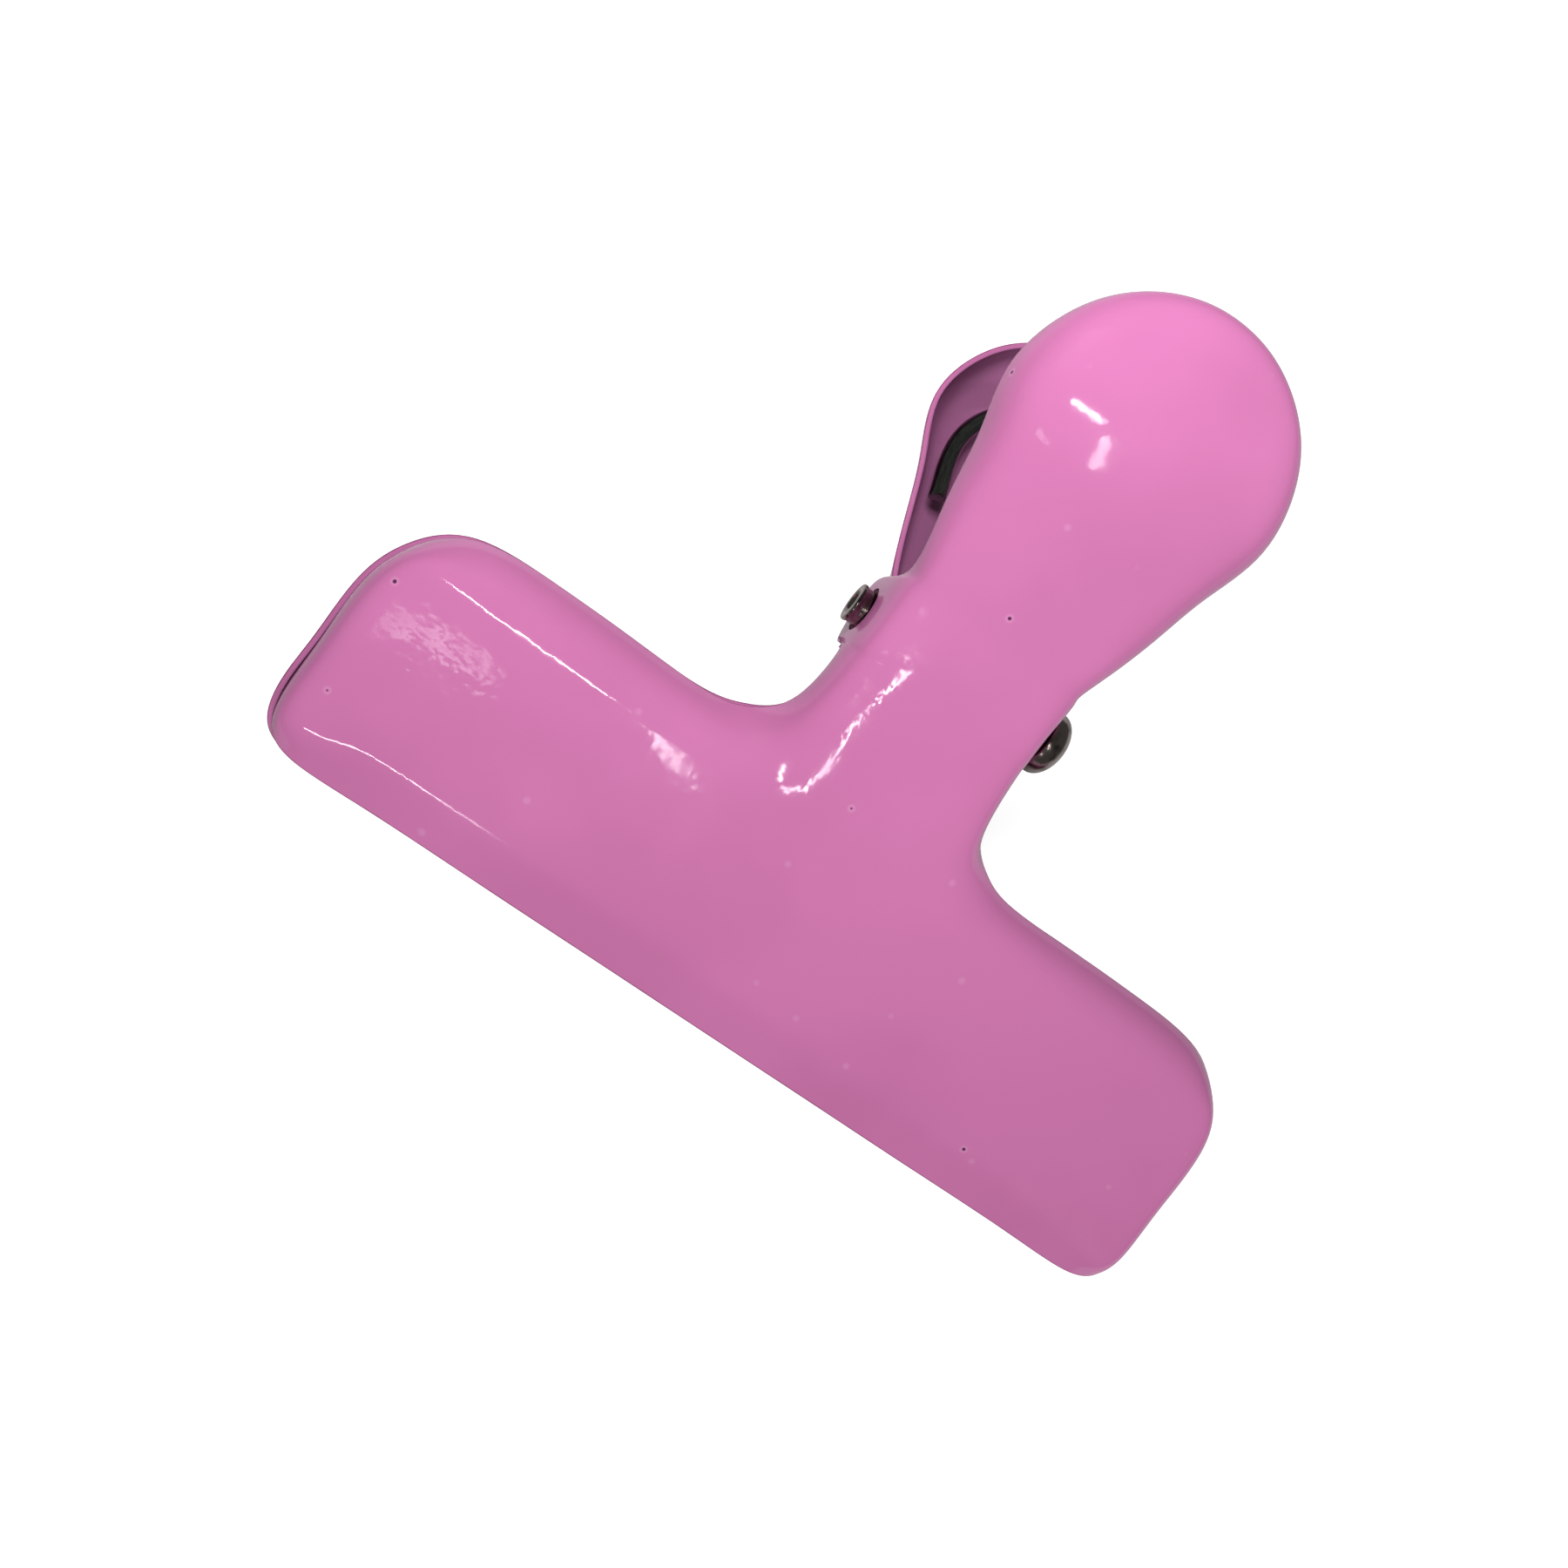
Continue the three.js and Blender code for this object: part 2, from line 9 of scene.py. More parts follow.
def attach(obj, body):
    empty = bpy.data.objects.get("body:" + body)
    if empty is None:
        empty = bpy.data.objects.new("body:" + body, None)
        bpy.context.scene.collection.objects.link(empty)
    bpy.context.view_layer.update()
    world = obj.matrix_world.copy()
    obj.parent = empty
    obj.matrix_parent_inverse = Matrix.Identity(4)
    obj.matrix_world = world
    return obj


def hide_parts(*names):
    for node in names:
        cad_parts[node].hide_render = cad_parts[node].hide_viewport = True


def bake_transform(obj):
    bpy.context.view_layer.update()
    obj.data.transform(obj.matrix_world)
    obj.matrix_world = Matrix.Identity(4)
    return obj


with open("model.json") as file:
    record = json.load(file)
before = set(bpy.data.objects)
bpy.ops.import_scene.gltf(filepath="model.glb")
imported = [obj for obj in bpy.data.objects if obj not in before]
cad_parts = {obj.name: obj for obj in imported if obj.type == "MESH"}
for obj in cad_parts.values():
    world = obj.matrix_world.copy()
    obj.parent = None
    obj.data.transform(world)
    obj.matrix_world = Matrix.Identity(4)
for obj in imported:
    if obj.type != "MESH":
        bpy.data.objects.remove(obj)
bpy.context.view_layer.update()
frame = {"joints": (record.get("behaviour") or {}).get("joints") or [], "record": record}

# A pressed steel grip clip: two enamelled shells, a turned pivot pin and a torsion spring.
# The pieces are modelled in millimetres in the clip's own frame: X along the jaw, Y from the lips to the
# handle tips, Z from the middle plane to the front shell. place() then puts them where the CAD nodes are.

record = frame["record"]

# The pressed sheet. Its sizes are the CAD model's.
shell = {
    "sheet": 0.6,
    "lipGap": 0.3,
    "jawWidth": 100,
    "jawHeight": 26.8,
    "lipStrip": 5,
    "lipRise": 2.1,
    "creaseBend": 0.8,
    "plateRise": 2.1,
    "topRoll": 5,
    "topDrop": 3.2,
    "endRoll": 4.5,
    "endRim": 0.3,
    "topCornerRadius": 10.7,
    "lipCornerRadius": 4.6,
    "neckWidth": 21.3,
    "neckFlat": 13,
    "neckLift": 2.8,
    "neckShoulder": 3.2,
    "filletRadius": 8.1,
    "earRadius": 4.3,
    "earGap": 0.5,
    "sidePlay": 0.8,
    "notchDepth": 0.6,
    "clipHeight": 81.5,
    "paddleWidth": 29.7,
    "paddleFlat": 17.6,
    "rimAtPin": 6,
    "rimAngle": math.radians(11.7),
    "domeHeight": 5.7,
    "domeCrown": 0.6,
    "flareCurve": 1.3,
    "subdivisions": 3,
    "smoothQuality": 4,
    "softAngle": math.radians(40),
    "edgeRound": 0.2,
    "edgeSteps": 3,
    "wearAndShadeWidth": 0.6,
    "drillSides": 64,
}

perMetre = 1000  # millimetres
mergeGap = 0.0001  # points nearer than this are one point
cutEdge = math.radians(60)  # an edge this sharp gets rounded

halfJaw = shell["jawWidth"] / 2
halfNeck = shell["neckWidth"] / 2
headArc = shell["paddleWidth"] / 2
headAt = shell["clipHeight"] - headArc
lipZ = shell["lipGap"] / 2 + shell["sheet"]
creaseZ = lipZ + shell["lipRise"]
plateTop = creaseZ + shell["plateRise"]
rollAt = shell["jawHeight"] - shell["topRoll"]
backInset = shell["sheet"] + shell["earGap"] + shell["sidePlay"]  # how far in the back ears stand


def mix(a, b, t):
    return a + (b - a) * t


def smoothStep(value, low, high):
    t = min(max((value - low) / (high - low), 0), 1)
    return t * t * (3 - 2 * t)


def clipPlace():
    # The clip leans on its back shell: the lean and place follow from the record's jaw face and hinge.
    face = next(m for m in record["mounts"] if m["name"] == "front_jaw_face")
    hinge = Vector(frame["joints"][0]["pos_m"])
    slope = math.atan(shell["plateRise"] / (rollAt - shell["lipStrip"]))
    lean = math.asin(-face["axis"][1]) - slope
    turn = Matrix.Rotation(lean, 4, "X")
    corner = hinge - turn @ Vector((0, pin["at"] / perMetre, 0))
    corner.x = shell["sidePlay"] / 2 / perMetre
    return Matrix.Translation(corner) @ turn @ Matrix.Scale(1 / perMetre, 4)


def wake(piece):
    # Alone selected and active, which the operators need.
    bpy.ops.object.select_all(action="DESELECT")
    piece.select_set(True)
    bpy.context.view_layer.objects.active = piece


def editMode(kind="VERT"):
    bpy.ops.object.mode_set(mode="EDIT")
    bpy.ops.mesh.select_mode(type=kind)


def objectMode():
    bpy.ops.object.mode_set(mode="OBJECT")


def applyModifier(piece, kind, **settings):
    wake(piece)
    step = piece.modifiers.new(kind.lower(), kind)
    for name, value in settings.items():
        setattr(step, name, value)
    bpy.ops.object.modifier_apply(modifier=step.name)


def place(piece):
    piece.data.transform(toRow)
    piece.data.update()


# Where the rows of the flat part lie, from the lips up, and how the sheet rises and is crowned there.
flatNet = {
    "plateShares": (0.36, 0.8, 1),  # of the way from the crease to the roll
    "filletPlace": 0.45,  # of the fillet's radius above the jaw
    "neckLifts": (0.35, 0.62, 0.75),  # shares of the neck's lift, up to the ears
    "earPlace": 0.72,  # of the ear's radius to each side of the pin
    "neckCrowns": (0.1, 0.2, 0.25),
    "flareWidths": (0.3, 0.68),  # of the way from the neck's width to the head's
    "flareCrowns": (0.35, 0.5),
    "headPlaces": (0.42, 0.68),  # of the head's radius beyond its middle
    "headWidths": (0.9, 0.62),
    "headHeights": (0.88, 0.6),
    "headCrowns": (1, 0.5),
    "cornerSeat": (1, 1.5),  # how far the jaw's inner corners are moved out and up
}


def plateHeight(y):
    return creaseZ + shell["plateRise"] * (y - shell["lipStrip"]) / (rollAt - shell["lipStrip"])


def rimHeight(y):
    return shell["rimAtPin"] + (y - pin["at"]) * math.tan(shell["rimAngle"])


def handleHeight(y):
    share = smoothStep(y, pin["at"], headAt)
    return rimHeight(y) + mix(plateTop + shell["neckLift"] - shell["rimAtPin"], shell["domeHeight"], share)


def flatRows(inset):
    # Rows of the flat part, from the lips up: (place, half width at the neck's column, height, crown).
    bend = shell["creaseBend"]
    neck = shell["neckFlat"] / 2
    narrow = neck - inset
    ear = shell["earRadius"]
    earPlace = flatNet["earPlace"] * ear
    earEnd = pin["at"] + ear + bend
    lipStrip = shell["lipStrip"]
    rows = [
        (lipStrip - bend, neck, lipZ + shell["lipRise"] * (1 - bend / lipStrip), 0),
        (lipStrip + bend, neck, plateHeight(lipStrip + bend), 0),
    ]
    for share in flatNet["plateShares"]:
        y = mix(lipStrip, rollAt, share)
        rows.append((y, neck, plateHeight(y), 0))
    lift = shell["neckLift"]
    lifts = flatNet["neckLifts"]
    low, middle, high = flatNet["neckCrowns"]
    filletPlace = shell["jawHeight"] + flatNet["filletPlace"] * shell["filletRadius"]
    rows.append((filletPlace, narrow, plateTop + lift * lifts[0], low))
    rows.append((pin["at"] - ear - bend, narrow, plateTop + lift * lifts[1], middle))
    rows.append((pin["at"] - earPlace, narrow, plateTop + lift * lifts[2], middle))
    rows.append((pin["at"], narrow, plateTop + lift, middle))
    rows.append((pin["at"] + earPlace, narrow, handleHeight(pin["at"] + earPlace), middle))
    rows.append((earEnd, narrow, handleHeight(earEnd), high))
    wide = shell["paddleFlat"] / 2
    flareEnd = 1 + len(flatNet["flareWidths"])
    for step, (width, crown) in enumerate(zip(flatNet["flareWidths"], flatNet["flareCrowns"])):
        y = mix(earEnd, headAt, (step + 1) / flareEnd)
        rows.append((y, mix(narrow, wide, width), handleHeight(y), crown))
    crown = shell["domeCrown"]
    rows.append((headAt, wide, handleHeight(headAt), crown))
    head = zip(flatNet["headPlaces"], flatNet["headWidths"], flatNet["headHeights"], flatNet["headCrowns"])
    for beyond, width, height, share in head:
        y = headAt + beyond * headArc
        rows.append((y, width * wide, rimHeight(y) + height * shell["domeHeight"], share * crown))
    return rows


wingShares = (0.18, 0.42, 0.7, 0.89, 1)  # of the way from the neck's column to the roll at the end
neckCols = 2
jawCols = neckCols + len(wingShares)
cornerRow = 4  # the row at the jaw's inner corners
handleRow = 10  # the first row above the ears


def flatPoint(rows, col, rowIndex):
    y, half, z, crown = rows[rowIndex]
    side = (col > 0) - (col < 0)
    count = abs(col)
    if count > neckCols:
        x = mix(half, halfJaw - shell["endRoll"], wingShares[count - neckCols - 1])
        return Vector((side * x, y, z))
    share = count / neckCols
    out, up = flatNet["cornerSeat"] if count == neckCols and rowIndex == cornerRow else (0, 0)
    return Vector((side * share * half + side * out, y + up, z - crown * share * share))


def edgeRoute(rowCount):
    # The way round the flat part's edge, right half, from the middle of the lips to the tip.
    route = [(col, 0) for col in range(jawCols)]
    route += [(jawCols, row) for row in range(cornerRow)]
    route += [(col, cornerRow) for col in range(jawCols, neckCols, -1)]
    route += [(neckCols, row) for row in range(cornerRow, rowCount)]
    route += [(col, rowCount - 1) for col in range(neckCols - 1, -1, -1)]
    return route


def onArc(x, y, radius, degrees):
    angle = math.radians(degrees)
    return (x + radius * math.cos(angle), y + radius * math.sin(angle))


# Where the steps of the rim lie. Angles are in degrees, round the centre of each corner.
rimNet = {
    "lipCorner": -38,
    "lipCornerRise": 0.3,  # of the way from the lips' height to the ends'
    "endPlace": 0.1,  # of the way down from the plate's second row
    "endCorner": (4, 34),
    "rollCorner": 67,
    "topShares": (0.8, 0.42, 0),  # of the way from the fillet to the corner
    "fillet": (238, 205),
    "filletInsets": (0.4, 0.8),  # how much of the back shell's inset each of them gets
    "neckDrop": 0.4,
    "neckGap": 0.3,
    "earReach": 0.88,  # of the ear's radius
    "earDrop": 0.48,
    "flareStart": 0.7,  # of the ear's radius above the pin
    "flareInsets": (0.8, 0.35),
    "head": (0, 27, 50, 71, 90),
    "innerFollow": 0.5,  # how far the inner bend follows the tightened rim
    "fitRounds": 40,
}

# How each stretch of edge is bent: where its two bends lie between rim and flat, and how far each drops.
lipBend = ((0.6, 0.25), (0.4, 0.75))
endBend = ((0.3, 0.06), (0.04, 0.5))
rollBend = ((0.5, 0.16), (0.16, 0.6))
sideBend = ((0.22, 0), (0.06, 0.6))
headBend = ((0.36, 0.06), (0.12, 0.55))


def rimPoints(rows, inset):
    # The rim of the right half: one (point, bend) for each step of edgeRoute.
    points = []

    def add(spot, z, bend):
        points.append((Vector((spot[0], spot[1], z)), bend))

    lipRadius = shell["lipCornerRadius"]
    lipStraight = halfJaw - lipRadius
    for col in range(jawCols):
        flat = flatPoint(rows, col, 0)
        x = flat.x if col <= neckCols else flat.x * lipStraight / flatPoint(rows, jawCols - 1, 0).x
        add((x, 0), lipZ, lipBend)
    rimTop = plateTop - shell["topDrop"]
    endStart = rows[1][0]

    def addEnd(spot):
        share = (spot[1] - endStart) / (shell["jawHeight"] - endStart)
        add(spot, mix(shell["endRim"], rimTop, share), endBend)

    lipCorner = onArc(lipStraight, lipRadius, lipRadius, rimNet["lipCorner"])
    add(lipCorner, mix(lipZ, shell["endRim"], rimNet["lipCornerRise"]), endBend)
    addEnd((halfJaw, endStart))
    addEnd((halfJaw, mix(rows[2][0], endStart, rimNet["endPlace"])))
    topRadius = shell["topCornerRadius"]
    corner = (halfJaw - topRadius, shell["jawHeight"] - topRadius)
    for degrees in rimNet["endCorner"]:
        addEnd(onArc(*corner, topRadius, degrees))
    add(onArc(*corner, topRadius, rimNet["rollCorner"]), rimTop, rollBend)
    radius = shell["filletRadius"]
    fillet = (halfNeck + radius, shell["jawHeight"] + radius)
    for share in rimNet["topShares"]:
        add((mix(fillet[0], corner[0], share), shell["jawHeight"]), rimTop, rollBend)
    for degrees, part, bend in zip(rimNet["fillet"], rimNet["filletInsets"], (rollBend, sideBend)):
        spot = onArc(*fillet, radius, degrees)
        add((spot[0] - part * inset, spot[1]), rimTop, bend)
    ear = shell["earRadius"]
    side = halfNeck - inset
    reach = rimNet["earReach"] * ear
    add((side, pin["at"] - ear - rimNet["neckGap"]), rimTop - rimNet["neckDrop"], sideBend)
    add((side, pin["at"] - reach), -rimNet["earDrop"] * ear, sideBend)
    add((side, pin["at"]), -ear, sideBend)
    add((side, pin["at"] + reach), -rimNet["earDrop"] * ear, sideBend)
    flareFrom = pin["at"] + rimNet["flareStart"] * ear

    def flare(y):
        return mix(halfNeck, headArc, ((y - flareFrom) / (headAt - flareFrom)) ** shell["flareCurve"])

    above = rows[handleRow][0]
    notch = shell["notchDepth"]
    add((flare(above) - inset - notch, above), rimHeight(above) - shell["neckLift"] + 2 * notch, sideBend)
    for row, part in zip((handleRow + 1, handleRow + 2), rimNet["flareInsets"]):
        y = rows[row][0]
        add((flare(y) - part * inset, y), rimHeight(y), headBend)
    for degrees in rimNet["head"]:
        spot = onArc(0, headAt, headArc, degrees)
        add(spot, rimHeight(spot[1]), headBend)
    return points


def throughPoints(targets):
    # A closed smooth line through the rim points needs its control points a little outside them.
    control = [p.copy() for p in targets]
    count = len(targets)
    for _ in range(rimNet["fitRounds"]):
        for i in range(count):
            smooth = (4 * control[i] + control[i - 1] + control[(i + 1) % count]) / 6
            control[i] += targets[i] - smooth
    return control


def rimRings(rows, inset):
    # For each point of the flat part's edge, the three places that it is extruded to in turn.
    right = edgeRoute(len(rows))
    rightRim = rimPoints(rows, inset)
    route = list(right)
    edge = list(rightRim)
    for i in range(len(right) - 2, 0, -1):
        route.append((-right[i][0], right[i][1]))
        spot = rightRim[i][0].copy()
        spot.x = -spot.x
        edge.append((spot, rightRim[i][1]))
    control = throughPoints([spot for spot, _ in edge])
    rings = {}
    for step, (spot, (reach, drop)), tight in zip(route, edge, control):
        flat = flatPoint(rows, *step)
        depth = flat.z - spot.z
        if (reach, drop) == sideBend:
            depth = min(depth, shell["neckShoulder"] / drop[1])
        places = []
        for ring, share in enumerate((rimNet["innerFollow"], 1)):
            point = spot.lerp(flat, reach[ring])
            push = (tight - spot) * share
            places.append(Vector((point.x + push.x, point.y + push.y, flat.z - depth * drop[ring])))
        places.append(tight)
        rings[step] = places
    return rings


def pressedSheet(name, inset, holeRadius):
    # A grid cut to a T, its edge extruded three times into bends and ears, then smoothed and thickened.
    rows = flatRows(inset)
    bpy.ops.object.select_all(action="DESELECT")
    bpy.ops.mesh.primitive_grid_add(x_subdivisions=2 * jawCols, y_subdivisions=len(rows) - 1, size=2)
    piece = bpy.context.object
    piece.name = name
    mesh = piece.data
    for vertex in mesh.vertices:
        vertex.co.x = round(vertex.co.x * jawCols)
        vertex.co.y = round((vertex.co.y + 1) / 2 * (len(rows) - 1))
    editMode("FACE")
    bpy.ops.mesh.select_all(action="DESELECT")
    objectMode()
    for face in mesh.polygons:
        face.select = abs(face.center.x) > neckCols and face.center.y > cornerRow
    editMode("FACE")
    bpy.ops.mesh.delete(type="FACE")
    editMode("EDGE")
    bpy.ops.mesh.select_all(action="SELECT")
    bpy.ops.mesh.region_to_loop()
    rings = rimRings(rows, inset)
    steps = {}
    for ring in range(3):
        bpy.ops.mesh.extrude_region_move()
        objectMode()
        moved = {}
        for vertex in mesh.vertices:
            if vertex.select:
                step = (round(vertex.co.x), round(vertex.co.y)) if ring == 0 else steps[tuple(vertex.co)]
                vertex.co = rings[step][ring]
                moved[tuple(vertex.co)] = step
        steps = moved
        editMode("EDGE")
    objectMode()
    for vertex in mesh.vertices:
        if tuple(vertex.co) not in steps and vertex.co.z == 0:
            vertex.co = flatPoint(rows, round(vertex.co.x), round(vertex.co.y))
    editMode("FACE")
    bpy.ops.mesh.select_all(action="SELECT")
    bpy.ops.mesh.remove_doubles(threshold=mergeGap)
    bpy.ops.mesh.normals_make_consistent(inside=False)
    objectMode()
    if sum(face.normal.z for face in mesh.polygons) < 0:
        mesh.flip_normals()
    level = shell["subdivisions"]
    applyModifier(piece, "SUBSURF", levels=level, render_levels=level, boundary_smooth="ALL",
                  use_limit_surface=True, quality=shell["smoothQuality"])
    cutLine = rimLine(piece)
    outerCount = len(mesh.vertices)
    applyModifier(piece, "SOLIDIFY", thickness=shell["sheet"], offset=-1, use_rim=True)
    # The inner face is marked here for the painted shade that the enamel's colour gives it.
    inside = mesh.attributes.new("inside", "FLOAT", "POINT")
    for i in range(outerCount, len(mesh.vertices)):
        inside.data[i].value = 1
    applyModifier(piece, "BEVEL", width=shell["edgeRound"], segments=shell["edgeSteps"],
                  limit_method="ANGLE", angle_limit=cutEdge)
    drillEars(piece, holeRadius)
    markRim(mesh, cutLine)
    return piece


def rimLine(piece):
    # The points of the sheet's cut edge, on its outer face.
    wake(piece)
    editMode("EDGE")
    bpy.ops.mesh.select_all(action="SELECT")
    bpy.ops.mesh.region_to_loop()
    objectMode()
    return [vertex.co.copy() for vertex in piece.data.vertices if vertex.select]


def markRim(mesh, cutLine):
    # How near each vertex is to the cut edge, for the edge wear of its finish and the painted shade along
    # the edge: 1 at the edge.
    tree = KDTree(len(cutLine))
    for i, spot in enumerate(cutLine):
        tree.insert(spot, i)
    tree.balance()
    near = mesh.attributes.new("rimWearAndShade", "FLOAT", "POINT")
    for vertex in mesh.vertices:
        gap = tree.find(vertex.co)[2]
        near.data[vertex.index].value = max(0, 1 - gap / shell["wearAndShadeWidth"])


def drillEars(piece, radius):
    # The pin's hole through both ears.
    bpy.ops.mesh.primitive_cylinder_add(
        vertices=shell["drillSides"], radius=radius, depth=2 * shell["neckWidth"],
        location=(0, pin["at"], 0), rotation=(0, math.pi / 2, 0))
    drill = bpy.context.object
    applyModifier(piece, "BOOLEAN", object=drill, operation="DIFFERENCE", solver="EXACT")
    bpy.data.objects.remove(drill)


def finishShell(piece):
    wake(piece)
    bpy.ops.object.shade_smooth_by_angle(angle=shell["softAngle"])
    place(piece)


def makeFrontShell():
    piece = pressedSheet("frontShell", 0, pin["looseHole"])
    springLine = springPoints(piece)
    finishShell(piece)
    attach(piece, "front")
    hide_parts("front_shell")
    print("front shell:", len(piece.data.polygons), "faces")
    return piece, springLine


def makeBackShell():
    # The same pressing, narrower at the ears, turned over, and as far to the left as its ears let it be.
    piece = pressedSheet("backShell", backInset, pin["radius"] + pin["fit"])
    piece.data.transform(Matrix.Scale(-1, 4, (0, 0, 1)))
    piece.data.transform(Matrix.Translation((-shell["sidePlay"], 0, 0)))
    piece.data.flip_normals()
    finishShell(piece)
    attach(piece, "back")
    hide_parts("back_shell")
    print("back shell:", len(piece.data.polygons), "faces")
    return piece


pin = {
    "at": 42.1,  # from the lips
    "radius": 1.95,
    "fit": 0.3,  # round it in the back ears
    "looseHole": 2.45,  # the radius of the front ears' holes
    "tail": 1.4,  # how far it stands out on the left
    "burr": 0.12,  # the unit of the small steps at its ends
    "hollow": 0.62,  # of the pin's radius
    "hollowFloor": ((0.3, 0.5), (0.75, 0.5), (0.92, 0)),  # out and deep, in radii of the hollow
    "hollowLip": ((0, 1), (0.5, 0.3), (1, 0)),  # in burrs, out from the hollow and in from the end
    "tailLip": ((-1, 0), (0.5, 0.3), (1, 1), (1, 3), (0.5, 4), (0, 5), (0, 8)),  # the same from the shank
    "headRadius": 3.45,
    "headThick": 2.9,
    "headGap": 0.65,
    "headLip": ((-1, 0), (-0.3, 0.3), (0, 1)),  # in burrs, out from the head's edge and on from its seat
    "headBand": 0.3,  # of the head's thickness, under its dome
    "domeSteps": 12,
    "sides": 72,
    "softAngle": math.radians(50),
}


def pinProfile():
    # (radius, place along the pin) from the middle of the tail end to the top of the domed head.
    burr = pin["burr"]
    tail = -halfNeck - pin["tail"]
    seat = halfNeck + pin["headGap"]
    radius = pin["radius"]
    hollow = pin["hollow"] * radius
    head = pin["headRadius"]
    thick = pin["headThick"]
    band = pin["headBand"]
    profile = [(out * hollow, tail + 2 * burr + deep * hollow) for out, deep in pin["hollowFloor"]]
    profile += [(hollow + out * burr, tail + along * burr) for out, along in pin["hollowLip"]]
    profile += [(radius + out * burr, tail + along * burr) for out, along in pin["tailLip"]]
    profile.append((radius, seat))
    profile += [(head + out * burr, seat + along * burr) for out, along in pin["headLip"]]
    profile.append((head, seat + band * thick))
    for i in range(1, pin["domeSteps"]):
        angle = i / pin["domeSteps"] * math.pi / 2
        profile.append((head * math.cos(angle), seat + thick * (band + (1 - band) * math.sin(angle))))
    return profile, seat + thick


def makePin():
    # A ring, extruded and scaled from station to station as on a lathe.
    profile, crownAt = pinProfile()
    radius, start = profile[0]
    bpy.ops.object.select_all(action="DESELECT")
    bpy.ops.mesh.primitive_circle_add(
        vertices=pin["sides"], radius=radius, fill_type="TRIFAN",
        location=(start, pin["at"], 0), rotation=(0, math.pi / 2, 0))
    piece = bpy.context.object
    piece.name = "pivotPin"
    bpy.ops.object.transform_apply(location=True, rotation=True, scale=True)
    editMode("EDGE")
    bpy.ops.mesh.select_all(action="SELECT")
    bpy.ops.mesh.region_to_loop()
    for nextRadius, along in profile[1:]:
        bpy.ops.mesh.extrude_region_move(TRANSFORM_OT_translate={"value": (along - start, 0, 0)})
        grow = nextRadius / radius
        bpy.ops.transform.resize(value=(1, grow, grow), center_override=(along, pin["at"], 0))
        radius, start = nextRadius, along
    bpy.ops.mesh.extrude_region_move(TRANSFORM_OT_translate={"value": (crownAt - start, 0, 0)})
    bpy.ops.mesh.merge(type="CENTER")
    bpy.ops.mesh.select_all(action="SELECT")
    bpy.ops.mesh.remove_doubles(threshold=mergeGap)
    bpy.ops.mesh.normals_make_consistent(inside=False)
    objectMode()
    bpy.ops.object.shade_smooth_by_angle(angle=pin["softAngle"])
    place(piece)
    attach(piece, "back")
    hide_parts("pivot_pin")
    print("pivot pin:", len(piece.data.polygons), "faces")
    return piece


spring = {
    "wire": 0.95,  # half the wire's thickness
    "coilGap": 0.7,
    "coilTurns": 4.5,
    "coilPitch": 2.5,
    "coilSteps": 8,  # points in each turn
    "legGap": 0.3,  # between the leg and the handle it presses
    "loopRadius": 9.5,
    "loopShift": 0.3,
    "loopAt": 21.4,
    "loopSteps": 12,
    "tailLength": 4,
    "tailTurn": -14,
    "stemTurn": 190,
    "stemShares": (0.25, 0.5, 0.75, 1),
    "steepest": math.radians(45),
    "leanRounds": 40,
    "pace": 0.4,  # between the points of the wire's middle line
    "roundness": 5,
    "endRound": 0.12,
    "endSteps": 2,
    "softAngle": math.radians(40),
    "blendHalf": 3.4,  # how far to each side of the pin the coil turns with the hinge
}


def coilMean():
    return pin["radius"] + spring["coilGap"] + spring["wire"]


def legHeight(lean, y):
    return math.tan(lean) * (y - pin["at"]) + coilMean() / math.cos(lean)


def legRoute(coilEnd):
    # The front leg seen from the front: a straight tail, the round loop, and a stem down to the coil.
    loop = (spring["loopShift"], pin["at"] + spring["loopAt"])
    turn = spring["tailTurn"]
    end = Vector(onArc(*loop, spring["loopRadius"], turn))
    along = Vector(onArc(0, 0, 1, turn - 90))
    tail = [end + along * spring["tailLength"] * share for share in (1, 0.5)]
    steps = spring["loopSteps"]
    turns = [mix(turn, spring["stemTurn"], i / steps) for i in range(steps + 1)]
    arc = [Vector(onArc(*loop, spring["loopRadius"], degrees)) for degrees in turns]
    foot = Vector((coilEnd, pin["at"] + math.pi * 2 * coilMean() / spring["coilSteps"]))
    stem = [arc[-1].lerp(foot, share) for share in spring["stemShares"]]
    return tail + arc + stem


def legLean(route, front):
    # The steepest lean at which the front leg still clears the inside of its handle.
    room = spring["legGap"] + spring["wire"]
    limits = []
    for spot in route:
        over = []
        for x in (spot.x - room, spot.x, spot.x + room):
            hit, point = front.ray_cast(Vector((x, spot.y, 0)), Vector((0, 0, 1)))[:2]
            over.append(point.z if hit else math.inf)
        limits.append((spot.y, min(over) - room))
    low, high = 0, spring["steepest"]
    for _ in range(spring["leanRounds"]):
        lean = (low + high) / 2
        spare = room * (1 / math.cos(lean) - 1)
        if all(legHeight(lean, y) + spare <= z for y, z in limits):
            low = lean
        else:
            high = lean
    return low


def springPoints(front):
    # The wire's middle line: front leg, coil from left to right, back leg.
    halfCoil = spring["coilTurns"] * spring["coilPitch"] / 2
    route = legRoute(-halfCoil)
    lean = legLean([Vector((spot.x - shell["sidePlay"], spot.y)) for spot in route], front)
    frontLeg = [Vector((spot.x, spot.y, legHeight(lean, spot.y))) for spot in route]
    backLeg = [Vector((-spot.x, spot.y, -spot.z)) for spot in reversed(frontLeg)]
    turn = spring["coilTurns"] * math.pi * 2 - 2 * lean
    steps = round(spring["coilTurns"] * spring["coilSteps"])
    coil = []
    for i in range(steps + 1):
        angle = math.pi / 2 + lean + turn * i / steps
        x = mix(-halfCoil, halfCoil, i / steps)
        coil.append(Vector((x, pin["at"] + coilMean() * math.cos(angle), coilMean() * math.sin(angle))))
    return [spot + Vector((-shell["sidePlay"], 0, 0)) for spot in frontLeg + coil + backLeg]


